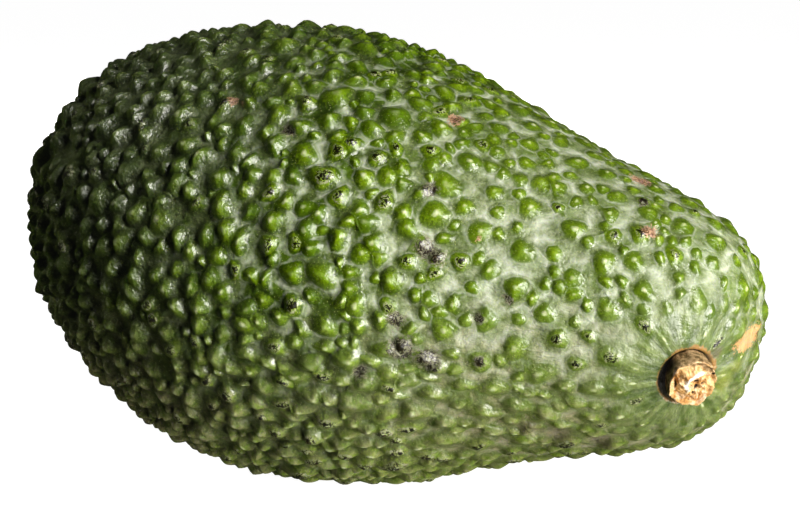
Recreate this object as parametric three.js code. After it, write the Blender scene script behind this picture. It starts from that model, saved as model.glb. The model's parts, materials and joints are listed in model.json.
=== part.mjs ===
// An avocado as picked: a pear-shaped fruit whose skin is covered in close, rounded bumps, lying on its side,
// and the corky stub of the stem it was cut from, which sits in a shallow dimple beside the fruit's tip.
// Millimetres, +Z up, +X towards the stem end. The fruit rests on z = 0 on a small pressed spot.
import * as THREE from 'three';
import { ConvexHull } from 'three/addons/math/ConvexHull.js';

// The fruit under its bumps
const LENGTH = 114.3;                           // blossom end to stem end, along the fruit's own axis
const HALF_WIDTH = 31.5;                        // radius halfway along
const TAPER = [1, -0.36, -0.245, 0.282, 0.504]; // radius over HALF_WIDTH, by powers of the place along
const LOPSIDED = [-0.04, 0.04, -0.02, -0.092];  // how much fuller the upper side is than the lower, likewise
const BEND_START = -0.05 * LENGTH;              // where the neck starts to curve
const BEND_ANGLE = THREE.MathUtils.degToRad(5.2);
const BEND_TOWARDS = THREE.MathUtils.degToRad(3);      // from +Y, up
const PITCH = THREE.MathUtils.degToRad(8);      // how far the stem end lies below the level
const PRESSED = 0.4;                            // how far the resting spot is pressed in

// The bumps
const SEED = 1701;
const BUMP_CLASSES = [                          // radius and how many places are tried for it
  [2.25, 500],
  [1.9, 2400],
  [1.6, 9000],
  [1.3, 26000],
];
const BUMP_RISE = 0.56;                         // height over radius
const BROAD_END_RISE = 0.12;                    // share by which bumps stand taller at the broad end
const BROAD_END_PLACE = 0.8;                    // place along, from the middle, where they reach it
const TOP_SPREAD = 0.54;                        // a bump's rounded top over its radius
const TOP_UNEVEN = 0.12;                        // share by which the corners of a top differ in height
const TOP_CORNERS = { 2.25: 4, 1.9: 4, 1.6: 3, 1.3: 1 };
const VALLEY_LOW = -0.25;                       // range of heights of the valleys between bumps
const VALLEY_HIGH = 0.1;

// The stem's dimple and stub
const STEM_AT = new THREE.Vector3(0.916, -0.368, -0.16).normalize();
const DIMPLE_DEPTH = 1.1;
const DIMPLE_RADIUS = 6.5;
const SOCKET_RADIUS = 4.2;
const SOCKET_DEPTH = 0.9;                       // below the dimple's middle
const SOCKET_SIDES = 18;
const RIDGES = 15;                              // folds of skin that run out from the stem
const RIDGE_FROM = 5.5;
const RIDGE_TO = 8.4;
const RIDGE_RISE = 0.4;
const RIDGE_UNEVEN = 0.4;                       // share by which a ridge is higher or lower than that
const RIDGE_SHIFT = 0.3;                        // share of their spacing that ridges stray from even places
const BUMPS_FROM = 9.6;                         // nearest that a bump's centre comes to the stem
const FULL_BUMPS_FROM = 17;
const STUB_GAP = 0.35;                          // between the stub and its socket's floor
const STUB_RADIUS = 3.7;
const STUB_SIDES = 26;
const STUB_WALL = [                             // radius over STUB_RADIUS, and height, from the floor up
  [0.9, 0],
  [0.98, 1.2],
  [1, 2.4],
  [0.94, 2.95],
];
const BROKEN_FACE = [0.83, 0.68, 0.53, 0.37, 0.19];   // radii of the rings across the broken end, likewise
const FACE_HEIGHT = 2.75;
const HOLLOW_DEPTH = 1.3;                       // the gap between bark rim and shrunken pith, on one side
const HOLLOW_AT = 0.72;                         // its middle and half width over STUB_RADIUS
const HOLLOW_WIDTH = 0.13;
const HOLLOW_TOWARDS = THREE.MathUtils.degToRad(-150);
const PITH_RISE = 0.75;
const PITH_RADIUS = 0.5;                        // over STUB_RADIUS
const SPLINTER_RISE = 0.16;

// Repeatable random numbers from 0 to 1
function randomNumbers(seed) {
  let state = seed >>> 0;
  return () => {
    state = (state + 0x6d2b79f5) >>> 0;
    let mixed = Math.imul(state ^ (state >>> 15), state | 1);
    mixed ^= mixed + Math.imul(mixed ^ (mixed >>> 7), mixed | 61);
    return ((mixed ^ (mixed >>> 14)) >>> 0) / 4294967296;
  };
}

// Curves the neck sideways, round a circle that starts at BEND_START
function bend(point) {
  const bendRadius = (LENGTH / 2 - BEND_START) / BEND_ANGLE;
  const turn = Math.max(0, point.x - BEND_START) / bendRadius;
  const side = point.y * Math.cos(BEND_TOWARDS) + point.z * Math.sin(BEND_TOWARDS);
  const across = point.z * Math.cos(BEND_TOWARDS) - point.y * Math.sin(BEND_TOWARDS);
  const moved = bendRadius - (bendRadius - side) * Math.cos(turn);
  if (turn > 0) {
    point.x = BEND_START + (bendRadius - side) * Math.sin(turn);
  }
  point.y = moved * Math.cos(BEND_TOWARDS) - across * Math.sin(BEND_TOWARDS);
  point.z = moved * Math.sin(BEND_TOWARDS) + across * Math.cos(BEND_TOWARDS);
  return point;
}

function polynomial(factors, place) {
  return factors.reduceRight((sum, factor) => sum * place + factor, 0);
}

// The pear shape: each unit direction has its one place on it, and its x, from -1 to 1, is the place along
function pearPoint(direction) {
  const fuller = 1 + direction.z * polynomial(LOPSIDED, direction.x);
  const radius = HALF_WIDTH * polynomial(TAPER, direction.x) * fuller;
  return bend(new THREE.Vector3(LENGTH / 2 * direction.x, radius * direction.y, radius * direction.z));
}

// The way out of a surface at a direction, from two short steps along it
function wayOut(surface, direction) {
  const step = 1e-4;
  const helper = Math.abs(direction.z) < 0.9 ? new THREE.Vector3(0, 0, 1) : new THREE.Vector3(0, 1, 0);
  const first = helper.cross(direction).normalize();
  const second = direction.clone().cross(first);
  const here = surface(direction);
  const a = surface(direction.clone().addScaledVector(first, step).normalize()).sub(here);
  const b = surface(direction.clone().addScaledVector(second, step).normalize()).sub(here);
  return a.cross(b).normalize();
}

const stemAxis = wayOut(pearPoint, STEM_AT);
const stemFoot = pearPoint(STEM_AT);

// The pear shape with the stem's dimple in it, which carries the bumps
function skinPoint(direction) {
  const point = pearPoint(direction);
  const nearness = Math.exp(-((point.distanceTo(stemFoot) / DIMPLE_RADIUS) ** 2));
  return point.addScaledVector(stemAxis, -DIMPLE_DEPTH * nearness);
}

// The sum of steps along the skin, each over the radius there, from the blossom end
function reachTable(steps) {
  const reach = [0, 0];
  let last = profilePoint(Math.PI / steps);
  for (let i = 2; i < steps; i += 1) {
    const next = profilePoint(Math.PI * i / steps);
    reach.push(reach[i - 1] + next.distanceTo(last) * 2 / (next.y + last.y));
    last = next;
  }
  return reach;
}

function profilePoint(polar) {
  const place = -Math.cos(polar);
  return new THREE.Vector2(LENGTH / 2 * place, HALF_WIDTH * polynomial(TAPER, place) * Math.sin(polar));
}

const REACH = reachTable(1500);

// Small circles on the skin stay round on this unit sphere, so neighbours on it are neighbours on the fruit
function roundPoint(direction) {
  const polar = Math.acos(-direction.x) / Math.PI * REACH.length;
  const cell = Math.min(Math.floor(polar), REACH.length - 2);
  const reach = THREE.MathUtils.lerp(REACH[cell], REACH[cell + 1], polar - cell) - REACH[REACH.length / 2];
  const round = Math.atan2(direction.z, direction.y);
  return new THREE.Vector3(Math.sinh(reach), Math.cos(round), Math.sin(round)).divideScalar(Math.cosh(reach));
}

// Two directions across a third
function acrossPair(out) {
  const helper = Math.abs(out.x) < 0.9 ? new THREE.Vector3(1, 0, 0) : new THREE.Vector3(0, 1, 0);
  const first = helper.cross(out).normalize();
  return [first, out.clone().cross(first)];
}

// The direction whose place on the pear shape lies closest to a point near it, found by repeated correction
function directionOf(point, start) {
  const direction = start.clone();
  const corrections = 12;
  for (let i = 0; i < corrections; i += 1) {
    const miss = point.clone().sub(pearPoint(direction));
    miss.divide(new THREE.Vector3(LENGTH / 2, HALF_WIDTH, HALF_WIDTH));
    direction.add(miss).normalize();
  }
  return direction;
}

// Bumps are thrown at random, large ones first, and stay where they clear the others
function throwBumps(random) {
  const bumps = [];
  for (const [radius, tries] of BUMP_CLASSES) {
    for (let i = 0; i < tries; i += 1) {
      const place = 2 * random() - 1;
      const round = 2 * Math.PI * random();
      const girth = Math.sqrt(1 - place * place);
      const direction = new THREE.Vector3(place, girth * Math.cos(round), girth * Math.sin(round));
      const centre = skinPoint(direction);
      const clear = bumps.every((other) => centre.distanceTo(other.centre) > radius + other.radius);
      if (clear && centre.distanceTo(stemFoot) > BUMPS_FROM) {
        bumps.push({ direction, centre, radius });
      }
    }
  }
  return bumps;
}

// A bump's height, less towards the stem and more at the broad end
function bumpHeight(bump) {
  const nearStem = THREE.MathUtils.smoothstep(bump.centre.distanceTo(stemFoot), 0, FULL_BUMPS_FROM);
  const broad = 1 + BROAD_END_RISE * THREE.MathUtils.smoothstep(-bump.direction.x, 0, BROAD_END_PLACE);
  return BUMP_RISE * bump.radius * nearStem * broad;
}

// The corners of a bump's top, fewer on a small one
function topCorners(bump, random) {
  const out = wayOut(skinPoint, bump.direction);
  const [first, second] = acrossPair(out);
  const height = bumpHeight(bump);
  const turn = 2 * Math.PI * random();
  const count = TOP_CORNERS[bump.radius];
  const spread = count === 1 ? 0 : TOP_SPREAD * bump.radius;
  return Array.from({ length: count }, (_, i) => {
    const angle = turn + 2 * Math.PI * i / count;
    return bump.centre.clone()
      .addScaledVector(first, spread * Math.cos(angle))
      .addScaledVector(second, spread * Math.sin(angle))
      .addScaledVector(out, height * (1 + TOP_UNEVEN * (random() - 0.5)));
  });
}

// A point at a distance and angle round the stem, at a height over the skin
function roundStem(distance, angle, height) {
  const [first, second] = acrossPair(stemAxis);
  const target = stemFoot.clone()
    .addScaledVector(first, distance * Math.cos(angle))
    .addScaledVector(second, distance * Math.sin(angle));
  const direction = directionOf(target, STEM_AT);
  return { direction, centre: skinPoint(direction).addScaledVector(stemAxis, height) };
}

// Folds of skin that run out from the stem, each with a crest of two corners
function stemRidges(random) {
  return Array.from({ length: RIDGES }, (_, i) => {
    const angle = 2 * Math.PI * (i + RIDGE_SHIFT * random()) / RIDGES;
    const rise = RIDGE_RISE * (1 + RIDGE_UNEVEN * (2 * random() - 1));
    const ridge = roundStem((RIDGE_FROM + RIDGE_TO) / 2, angle, 0);
    const crest = [roundStem(RIDGE_FROM, angle, rise / 2), roundStem(RIDGE_TO, angle, rise)];
    return { ...ridge, radius: (RIDGE_TO - RIDGE_FROM) / 2, top: crest.map((end) => end.centre) };
  });
}

// The flat floor that the stub stands on
function stemSocket() {
  const floor = stemFoot.clone().addScaledVector(stemAxis, -DIMPLE_DEPTH - SOCKET_DEPTH);
  const [first, second] = acrossPair(stemAxis);
  const top = Array.from({ length: SOCKET_SIDES }, (_, i) => {
    const angle = 2 * Math.PI * i / SOCKET_SIDES;
    return floor.clone()
      .addScaledVector(first, SOCKET_RADIUS * Math.cos(angle))
      .addScaledVector(second, SOCKET_RADIUS * Math.sin(angle));
  });
  return { direction: STEM_AT, centre: skinPoint(STEM_AT), radius: SOCKET_RADIUS, top };
}

// Where three neighbours meet, nearer to the smaller ones
function valleyCorner(neighbours, random) {
  const direction = new THREE.Vector3();
  for (const { direction: towards, radius } of neighbours) {
    direction.addScaledVector(towards, 1 / radius);
  }
  direction.normalize();
  const out = wayOut(skinPoint, direction);
  return skinPoint(direction).addScaledVector(out, THREE.MathUtils.lerp(VALLEY_LOW, VALLEY_HIGH, random()));
}

// Neighbouring bumps in threes, each with the valley corner between them
function meetInThrees(bumps, random) {
  const points = bumps.map((bump) => roundPoint(bump.direction));
  const index = new Map(points.map((point, i) => [point, i]));
  return new ConvexHull().setFromPoints(points).faces.map(({ edge }) => {
    const around = [edge, edge.next, edge.next.next].map(({ vertex }) => index.get(vertex.point));
    return { around, corner: valleyCorner(around.map((i) => bumps[i]), random) };
  });
}

// A point's angle round a bump, seen from outside
function angleRound(point, centre, [first, second]) {
  const offset = point.clone().sub(centre);
  return Math.atan2(offset.dot(second), offset.dot(first));
}

function sortRound(items, pointOf, centre, across) {
  const angle = (item) => angleRound(pointOf(item), centre, across);
  return items.slice().sort((a, b) => angle(a) - angle(b));
}

// The band of triangles between a bump's foot and its top, then the top itself
function bumpTriangles(foot, top, pointOf, centre, across) {
  const triangles = [];
  const angle = (id) => angleRound(pointOf(id), centre, across);
  const turnTo = (ring, i) => angle(ring[i % ring.length]) + 2 * Math.PI * Math.floor(i / ring.length);
  const topSteps = top.length > 1 ? top.length : 0;
  let [low, high] = [0, 0];
  while (low < foot.length || high < topSteps) {
    const footDone = low === foot.length;
    if (high < topSteps && (footDone || turnTo(top, high + 1) < turnTo(foot, low + 1))) {
      triangles.push([foot[low % foot.length], top[(high + 1) % top.length], top[high % top.length]]);
      high += 1;
    } else {
      triangles.push([foot[low % foot.length], foot[(low + 1) % foot.length], top[high % top.length]]);
      low += 1;
    }
  }
  for (let i = 1; i < top.length - 1; i += 1) {
    triangles.push([top[0], top[i], top[i + 1]]);
  }
  return triangles;
}

// Points that would lie under the table are pressed up to it
function pressFlat(points) {
  const up = new THREE.Vector3(-Math.sin(PITCH), 0, Math.cos(PITCH));
  const underside = Array.from({ length: 180 }, (_, i) => {
    const polar = THREE.MathUtils.degToRad(i);
    return pearPoint(new THREE.Vector3(Math.cos(polar), 0, -Math.sin(polar)));
  });
  const lowest = Math.min(...underside.map((point) => point.dot(up)));
  for (const point of points) {
    point.addScaledVector(up, Math.max(0, lowest + PRESSED - point.dot(up)));
  }
}

function meshGeometry(points, triangles) {
  const geometry = new THREE.BufferGeometry();
  geometry.setAttribute('position', new THREE.Float32BufferAttribute(points.flatMap((p) => p.toArray()), 3));
  geometry.setIndex(triangles.flat());
  geometry.computeVertexNormals();
  return geometry;
}

function fruitGeometry() {
  const random = randomNumbers(SEED);
  const bumps = throwBumps(random);
  for (const bump of bumps) {
    bump.top = topCorners(bump, random);
  }
  bumps.push(...stemRidges(random), stemSocket());
  const threes = meetInThrees(bumps, random);
  const points = threes.map(({ corner }) => corner);
  const feet = bumps.map(() => []);
  threes.forEach(({ around }, id) => around.forEach((bump) => feet[bump].push(id)));
  const triangles = bumps.flatMap((bump, i) => {
    const across = acrossPair(wayOut(skinPoint, bump.direction));
    const pointOf = (id) => points[id];
    const ids = bump.top.map((corner) => points.push(corner) - 1);
    const foot = sortRound(feet[i], pointOf, bump.centre, across);
    const top = sortRound(ids, pointOf, bump.centre, across);
    return bumpTriangles(foot, top, pointOf, bump.centre, across);
  });
  pressFlat(points);
  return meshGeometry(points, triangles);
}

// The stub's radius over STUB_RADIUS: a blunt egg, fuller on the hollow's side, with a few nicks
function stubOutline(angle) {
  const egg = 0.07 * Math.cos(angle - HOLLOW_TOWARDS);
  const nicks = 0.02 * Math.sin(5 * angle + 1) + 0.015 * Math.sin(9 * angle);
  return 1 + egg + nicks;
}

// Height of the broken end over the stub's foot: pith that stands proud, and the hollow beside it
function brokenHeight(share, angle) {
  const side = 0.5 + 0.5 * Math.cos(angle - HOLLOW_TOWARDS);
  const hollow = HOLLOW_DEPTH * side ** 2 * Math.exp(-(((share - HOLLOW_AT) / HOLLOW_WIDTH) ** 2));
  const pith = PITH_RISE * Math.exp(-((share / PITH_RADIUS) ** 4));
  const splinters = SPLINTER_RISE * share * (Math.sin(4 * angle + 7 * share) + 0.6 * Math.sin(9 * angle));
  return FACE_HEIGHT + pith - hollow + splinters;
}

// Rings of points, lowest first, closed by a middle point at each end
function stubGeometry() {
  const ring = (share, heightAt) => Array.from({ length: STUB_SIDES }, (_, i) => {
    const angle = 2 * Math.PI * i / STUB_SIDES;
    const radius = STUB_RADIUS * share * stubOutline(angle);
    return new THREE.Vector3(radius * Math.cos(angle), radius * Math.sin(angle), heightAt(angle));
  });
  const wall = STUB_WALL.map(([share, height]) => ring(share, () => height));
  const face = BROKEN_FACE.map((share) => ring(share, (angle) => brokenHeight(share, angle)));
  const rings = [...wall, ...face];
  const points = rings.flat();
  const [foot, crown] = [points.length, points.length + 1];
  points.push(new THREE.Vector3(0, 0, 0), new THREE.Vector3(0, 0, brokenHeight(0, 0)));
  const triangles = [];
  for (let i = 0; i < STUB_SIDES; i += 1) {
    const next = (i + 1) % STUB_SIDES;
    triangles.push([foot, next, i]);
    for (let low = 0; low < (rings.length - 1) * STUB_SIDES; low += STUB_SIDES) {
      triangles.push([low + i, low + next, low + STUB_SIDES + next]);
      triangles.push([low + i, low + STUB_SIDES + next, low + STUB_SIDES + i]);
    }
    const last = (rings.length - 1) * STUB_SIDES;
    triangles.push([last + i, last + next, crown]);
  }
  return meshGeometry(points, triangles);
}

const skin = new THREE.MeshStandardMaterial({ color: 0x57702c, roughness: 0.38, metalness: 0 });
const fruit = new THREE.Mesh(fruitGeometry(), skin);
fruit.name = 'fruit';

const cork = new THREE.MeshStandardMaterial({ color: 0xcbaa72, roughness: 0.85, metalness: 0 });
const stub = new THREE.Mesh(stubGeometry(), cork);
stub.name = 'stem_stub';
const [stubFirst, stubSecond] = acrossPair(stemAxis);
stub.quaternion.setFromRotationMatrix(new THREE.Matrix4().makeBasis(stubFirst, stubSecond, stemAxis));
stub.position.copy(stemFoot).addScaledVector(stemAxis, STUB_GAP - DIMPLE_DEPTH - SOCKET_DEPTH);

const avocado = new THREE.Group();
avocado.add(fruit, stub);
avocado.rotation.y = PITCH;
avocado.updateMatrixWorld(true);
const box = new THREE.Box3().setFromObject(avocado, true);
const middle = box.getCenter(new THREE.Vector3());
avocado.position.set(-middle.x, -middle.y, -box.min.z);

const group = new THREE.Group();
group.add(avocado);
export default group;
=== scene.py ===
import json
import math

import bmesh
import bpy
import numpy as np
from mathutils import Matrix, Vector, noise

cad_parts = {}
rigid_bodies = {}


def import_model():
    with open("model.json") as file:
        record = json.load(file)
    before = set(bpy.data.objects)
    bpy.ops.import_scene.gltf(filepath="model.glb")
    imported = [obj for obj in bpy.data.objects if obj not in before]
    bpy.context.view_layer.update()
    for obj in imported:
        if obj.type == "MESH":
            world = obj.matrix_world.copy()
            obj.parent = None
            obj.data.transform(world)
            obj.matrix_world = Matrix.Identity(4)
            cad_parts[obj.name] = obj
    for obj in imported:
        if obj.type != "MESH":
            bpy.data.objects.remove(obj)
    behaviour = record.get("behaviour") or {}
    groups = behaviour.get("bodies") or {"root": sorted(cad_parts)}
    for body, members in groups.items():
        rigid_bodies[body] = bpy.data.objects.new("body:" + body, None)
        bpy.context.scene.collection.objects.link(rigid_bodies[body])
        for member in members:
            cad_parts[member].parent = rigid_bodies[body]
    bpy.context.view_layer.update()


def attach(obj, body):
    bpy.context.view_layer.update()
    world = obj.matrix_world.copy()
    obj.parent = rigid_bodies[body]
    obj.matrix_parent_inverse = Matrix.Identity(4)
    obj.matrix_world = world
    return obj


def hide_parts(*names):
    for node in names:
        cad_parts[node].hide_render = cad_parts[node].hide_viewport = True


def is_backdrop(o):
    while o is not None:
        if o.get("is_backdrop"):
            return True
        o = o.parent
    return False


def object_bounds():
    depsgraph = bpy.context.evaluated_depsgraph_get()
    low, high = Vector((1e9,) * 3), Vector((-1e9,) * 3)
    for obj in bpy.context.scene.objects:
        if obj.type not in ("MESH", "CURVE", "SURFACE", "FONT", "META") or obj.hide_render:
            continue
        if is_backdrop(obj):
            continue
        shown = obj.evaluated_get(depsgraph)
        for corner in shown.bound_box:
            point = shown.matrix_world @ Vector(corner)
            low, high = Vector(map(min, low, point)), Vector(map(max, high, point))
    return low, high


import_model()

# ---------------------------------------------------------------------------------------------
# The fruit: a pear-shaped avocado in a thick, leathery skin.
# It grew in one piece. The skin is raised in close, rounded bumps, lower towards the stem, where
# it is drawn in round a dimple, and the fruit's weight presses a small flat spot under it.
# ---------------------------------------------------------------------------------------------

MM = 0.001

# The bare pear lies along an axis of its own, from -1 at its broad end to 1 at the neck's end.
LENGTH = 114.3 * MM
HALF_WIDTH = 31.5 * MM
TAPER = (1, -0.36, -0.245, 0.282, 0.504)    # its half-width over HALF_WIDTH, by powers of the place
LOPSIDED = (-0.04, 0.04, -0.02, -0.092)     # how much further out its top stands, by the same powers
BEND_START = -0.05 * LENGTH                 # from here on its neck bends to one side
BEND_ANGLE = math.radians(5.2)
BEND_TOWARDS = math.radians(3)              # and a little up
PITCH = math.radians(8)                     # how far its neck tips down
FRUIT_MIDDLE = np.array((0.2753, 0.0256, 32.2826)) * MM     # where its own axes cross, in the frame

# Its bumps: radius in mm, how often one is thrown, and how many corners it has in the solid.
SEED = 1701
BUMP_CLASSES = ((2.25, 500, 4), (1.9, 2400, 4), (1.6, 9000, 3), (1.3, 26000, 1))
BUMPS_FROM = 9.6 * MM                       # off the stem's foot
FULL_BUMPS_FROM = 17 * MM

# How the bumps change along the fruit, at four places on its axis: how many of the large ones have
# grown together from two or three tips, the foot of a single one and of a tip over the radius that
# was thrown, how many of the small ones are kept and how large they are, and how oval a bump is.
ZONES = (-0.6, -0.2, 0.2, 0.42)
SPLIT_SHARE = (0.9, 0.9, 0.8, 0.15)
SINGLE_SIZE = (1.0, 1.0, 1.02, 0.76)
TIP_SIZE = (0.76, 0.76, 0.78, 0.66)
SMALL_SHARE = (0.5, 0.66, 0.9, 0.56)
SMALL_SIZE = (0.95, 0.95, 1.0, 1.12)
OVAL = (0.26, 0.26, 0.22, 0.12)
SPLIT_FROM = 1.65           # mm, the least radius of a bump of two tips
THREE_TIPS_FROM = 2.1       # mm, and of three
TIP_AT = 0.56               # how far off the middle the tips stand, over the bump's radius
TIP_SHIFT = 0.3             # how far round the middle one may stray, over the space between two
LEAST_TIP = 0.85            # how large a tip is, and how much larger it may be
TIP_SPREAD = 0.3
THIRD_TIP = 0.87            # how much smaller they are where there are three
BROAD_HALF = -0.1           # the bumps beyond it are long ones that lie round the girth
BROAD_TURN = 0.6            # and may lean from it by this, radians
SMALL_BUMPS = (0.9, 6000)   # radius in mm and throws
SMALL_CLEARANCE = 0.85      # how near to another one may lie, over their two radii
GROUPS = (2.7, 4000)        # the groups that bumps crowd into, in the same way

# The place of the stem as a direction, the dimple and the socket that it stands in, and where the
# folds of skin round it lie.
STEM_AT = np.array((0.916, -0.368, -0.16))
STEM_AT = STEM_AT / np.linalg.norm(STEM_AT)
DIMPLE_DEPTH = 1.1 * MM
DIMPLE_RADIUS = 6.5 * MM
SOCKET_RADIUS = 4.2 * MM
SOCKET_DEPTH = 0.9 * MM
RIDGES = 15
RIDGE_FROM = 5.5 * MM
RIDGE_TO = 8.4 * MM
RIDGE_SHIFT = 0.3           # how unevenly they stand, over the space between two


def unit(vectors):
    """Vectors made one unit long."""
    return vectors / np.linalg.norm(vectors, axis=-1, keepdims=True)


def smoothstep(value, low, high):
    """0 up to low and 1 from high on, with a smooth rise between them."""
    share = np.clip((value - low) / (high - low), 0, 1)
    return share * share * (3 - 2 * share)


def polynomial(factors, place):
    """The sum of a place's powers, each times its factor."""
    return sum(factor * place ** power for power, factor in enumerate(factors))


def pear(directions):
    """The pear shape: each unit direction has its one place on it."""
    x, y, z = directions.T
    radius = HALF_WIDTH * polynomial(TAPER, x) * (1 + z * polynomial(LOPSIDED, x))
    along = LENGTH / 2 * x
    side_way, across_way = math.cos(BEND_TOWARDS), math.sin(BEND_TOWARDS)
    side = radius * (y * side_way + z * across_way)
    across = radius * (z * side_way - y * across_way)
    bend_radius = (LENGTH / 2 - BEND_START) / BEND_ANGLE
    turn = np.maximum(0, along - BEND_START) / bend_radius
    moved = bend_radius - (bend_radius - side) * np.cos(turn)
    along = np.where(turn > 0, BEND_START + (bend_radius - side) * np.sin(turn), along)
    return np.stack((
        along,
        moved * side_way - across * across_way,
        moved * across_way + across * side_way,
    ), axis=1)


def across_pair(out):
    """Two directions across each way out."""
    helper = np.where(np.abs(out[:, :1]) < 0.9, (1.0, 0.0, 0.0), (0.0, 1.0, 0.0))
    first = unit(np.cross(helper, out))
    return first, np.cross(out, first)


def ways_out(surface, directions):
    """The ways out of a surface, from two short steps along it."""
    step = 1e-4
    first, second = across_pair(directions)
    here = surface(directions)
    a = surface(unit(directions + step * first)) - here
    b = surface(unit(directions + step * second)) - here
    return unit(np.cross(a, b))


stem_foot = pear(STEM_AT[None])[0]
stem_axis = ways_out(pear, STEM_AT[None])[0]
stem_first, stem_second = (pair[0] for pair in across_pair(stem_axis[None]))


def skin(directions):
    """The pear shape with the stem's dimple in it, which carries the bumps."""
    points = pear(directions)
    from_stem = np.linalg.norm(points - stem_foot, axis=1)
    dimple = DIMPLE_DEPTH * np.exp(-((from_stem / DIMPLE_RADIUS) ** 2))
    return points - dimple[:, None] * stem_axis


def laid_down(points):
    """Points of the fruit's own axes as they lie in the frame, with its neck tipped down."""
    x, y, z = points.T
    lift, slide = math.sin(PITCH), math.cos(PITCH)
    return np.stack((x * slide + z * lift, y, z * slide - x * lift), axis=1) + FRUIT_MIDDLE


def repeatable_numbers(seed):
    """Numbers from 0 to 1 by the mulberry32 recipe, the same ones that the solid is grown from."""
    state = seed
    while True:
        state = (state + 0x6D2B79F5) & 0xFFFFFFFF
        mixed = ((state ^ (state >> 15)) * (state | 1)) & 0xFFFFFFFF
        mixed ^= (mixed + ((mixed ^ (mixed >> 7)) * (mixed | 61))) & 0xFFFFFFFF
        yield (mixed ^ (mixed >> 14)) / 4294967296


def throw_bumps(numbers, radius, tries, kept, clearance=1.0):
    """Throws bumps of one radius at random. A bump stays where it clears the ones kept so far."""
    drawn = np.array([next(numbers) for _ in range(2 * tries)]).reshape(-1, 2)
    place = 2 * drawn[:, 0] - 1
    clock = 2 * math.pi * drawn[:, 1]
    girth = np.sqrt(1 - place * place)
    directions = np.stack((place, girth * np.cos(clock), girth * np.sin(clock)), axis=1)
    centres = skin(directions)
    open_ground = np.linalg.norm(centres - stem_foot, axis=1) > BUMPS_FROM
    count = len(kept)
    spots = np.zeros((count + tries, 4))
    spots[:count] = [(*bump["centre"], bump["radius"]) for bump in kept] or np.zeros((0, 4))
    for direction, centre, is_open in zip(directions, centres, open_ground):
        if not is_open:
            continue
        gap = np.linalg.norm(spots[:count, :3] - centre, axis=1)
        if np.all(gap > clearance * (spots[:count, 3] + radius)):
            spots[count] = (*centre, radius)
            count += 1
            kept.append({"direction": direction, "centre": centre, "radius": radius})


def direction_near(target, rounds=12):
    """The direction whose place on the pear shape lies closest to a point near the stem."""
    direction = STEM_AT
    for _ in range(rounds):
        miss = target - pear(direction[None])[0]
        direction = unit(direction + miss / (LENGTH / 2, HALF_WIDTH, HALF_WIDTH))
    return direction


def round_stem(distance, clock):
    """A direction at a distance and a clock angle round the stem."""
    across = math.cos(clock) * stem_first + math.sin(clock) * stem_second
    return direction_near(stem_foot + distance * across)


numbers = repeatable_numbers(SEED)
bumps = []
for radius, tries, corners in BUMP_CLASSES:
    throw_bumps(numbers, radius * MM, tries, bumps)
    for bump in bumps:
        bump.setdefault("corners", corners)
for bump in bumps:      # the solid draws each bump's height and corners here
    for _ in range(1 + bump["corners"]):
        next(numbers)

ridges = []
for number in range(RIDGES):
    clock = 2 * math.pi * (number + RIDGE_SHIFT * next(numbers)) / RIDGES
    next(numbers)       # the solid draws the fold's height here
    direction = round_stem((RIDGE_FROM + RIDGE_TO) / 2, clock)
    centre = skin(direction[None])[0]
    radius = (RIDGE_TO - RIDGE_FROM) / 2
    ridges.append({"direction": direction, "centre": centre, "radius": radius})


def directions_at(points, directions, rounds=8):
    """The directions whose places on the skin lie closest to points just off it."""
    for _ in range(rounds):
        miss = points - skin(directions)
        directions = unit(directions + miss / (LENGTH / 2, HALF_WIDTH, HALF_WIDTH))
    return directions


# Looked at closely, most of the large bumps are two or three tips that have grown together.
fine_numbers = repeatable_numbers(SEED + 1)
domes = []
for bump in bumps:
    radius = bump["radius"]
    chance, turn = next(fine_numbers), next(fine_numbers)
    along = bump["direction"][0]
    in_broad = along < BROAD_HALF
    turn = BROAD_TURN * (2 * turn - 1) if in_broad else 2 * math.pi * turn
    if radius < SPLIT_FROM * MM or chance > np.interp(along, ZONES, SPLIT_SHARE):
        radius *= np.interp(along, ZONES, SINGLE_SIZE)
        domes.append(bump | {"parent": bump["centre"], "radius": radius})
        continue
    tips = 3 if radius > THREE_TIPS_FROM * MM and not in_broad else 2
    tip_size = np.interp(along, ZONES, TIP_SIZE) * (THIRD_TIP if tips == 3 else 1)
    first, second = (pair[0] for pair in across_pair(ways_out(skin, bump["direction"][None])))
    for number in range(tips):
        angle = turn + 2 * math.pi * (number + TIP_SHIFT * next(fine_numbers)) / tips
        size = LEAST_TIP + TIP_SPREAD * next(fine_numbers)
        middle = bump["centre"] + TIP_AT * radius * (math.cos(angle) * first + math.sin(angle) * second)
        direction = directions_at(middle[None], bump["direction"][None])
        domes.append({
            "direction": direction[0], "centre": skin(direction)[0], "parent": bump["centre"],
            "radius": size * radius * tip_size,
        })

# Small bumps fill the ground between, and each bump belongs to the nearest group.
small_radius, small_tries = SMALL_BUMPS
crowd = domes + ridges
throw_bumps(fine_numbers, small_radius * MM, small_tries, crowd, SMALL_CLEARANCE)
small = [
    bump for bump in crowd[len(domes) + len(ridges):]
    if next(fine_numbers) < np.interp(bump["direction"][0], ZONES, SMALL_SHARE)
]
for bump in small:
    bump["radius"] *= np.interp(bump["direction"][0], ZONES, SMALL_SIZE)
group_radius, group_tries = GROUPS
groups = []
throw_bumps(fine_numbers, group_radius * MM, group_tries, groups)
group_centre = np.array([group["centre"] for group in groups])

socket = {"direction": STEM_AT, "centre": skin(STEM_AT[None])[0], "radius": SOCKET_RADIUS}
cells = domes + ridges + [socket] + small
SOCKET = len(domes) + len(ridges)       # the socket's number among them

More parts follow.
